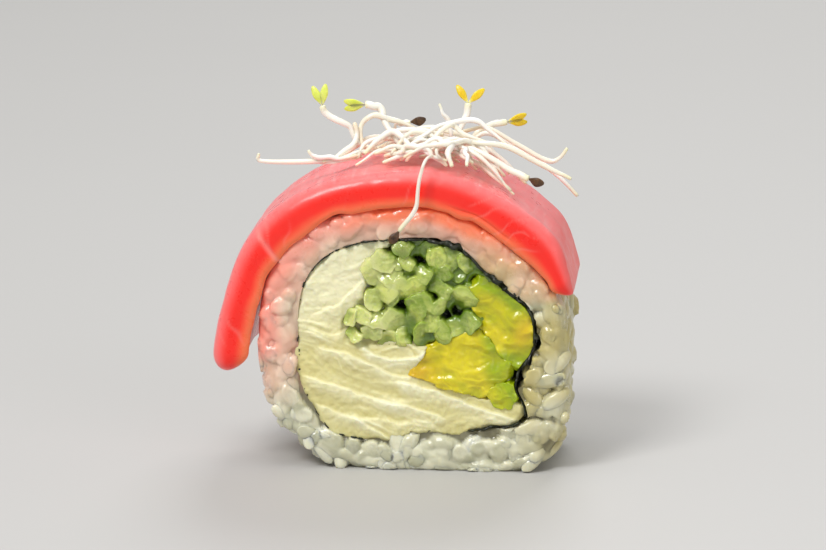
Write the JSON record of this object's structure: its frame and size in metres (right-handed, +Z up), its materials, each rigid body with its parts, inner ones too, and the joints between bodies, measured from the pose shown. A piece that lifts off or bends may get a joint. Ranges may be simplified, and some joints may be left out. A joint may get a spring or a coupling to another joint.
{
  "type": "uramaki sushi slice",
  "caption": "Slice of an inside-out sushi roll: rice around nori, filled with cream cheese, cucumber and avocado, with raw tuna draped over it and sprouts on top.",
  "frame": {"origin": "middle of the flat underside that the slice rests on", "axes": "+Z up; Y along the roll's axis, with the shown cut face towards -Y; +X to the right of that face"},
  "size_m": [0.0522, 0.0247, 0.0549],
  "materials": {
    "rice": "moist cooked rice, translucent off-white, soft gloss",
    "nori": "damp dried seaweed, near black green",
    "cream_cheese": "smeared soft cheese, pale cream, satin",
    "cucumber": "wet cut cucumber, pale green",
    "avocado": "ripe avocado, yellow to green, moist",
    "tuna": "raw fish, pink to red, wet satin with fine pale fibres",
    "sprouts": "fresh sprouts, cream-white stems with yellow-green seed leaves and dark hulls"
  },
  "bodies": {
    "root": {"rice": "rice", "nori": "nori", "cream_cheese": "cream_cheese", "cucumber": "cucumber", "avocado_low": "avocado", "avocado_high": "avocado", "tuna": "tuna", "sprouts": "sprouts"}
  },
  "joints": []
}
